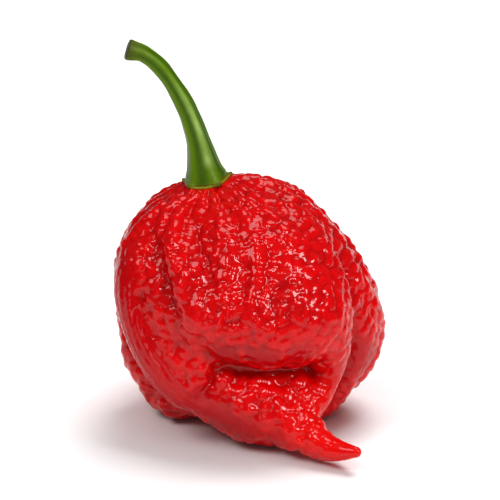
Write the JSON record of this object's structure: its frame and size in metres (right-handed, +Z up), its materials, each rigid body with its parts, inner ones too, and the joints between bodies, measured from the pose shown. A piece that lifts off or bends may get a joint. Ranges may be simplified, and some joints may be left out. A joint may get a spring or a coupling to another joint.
{
  "type": "trinidad moruga scorpion pepper",
  "caption": "Squat, folded chilli pod with pimpled glossy red skin and a short curled tail, resting on its belly under a green calyx and a curved stalk.",
  "frame": {"origin": "on the floor, under the centre of the pepper's bounding box", "axes": "+Z up, -Y towards the viewer who sees the folded lip, +X to that viewer's right, with the tail pointing to -Y and +X"},
  "size_m": [0.0358, 0.0356, 0.0502],
  "materials": {
    "pod_skin": "glossy, waxy red skin",
    "green_stem": "satin green plant stem"
  },
  "bodies": {
    "root": {"pod": "pod_skin", "stem_and_calyx": "green_stem"}
  },
  "joints": []
}
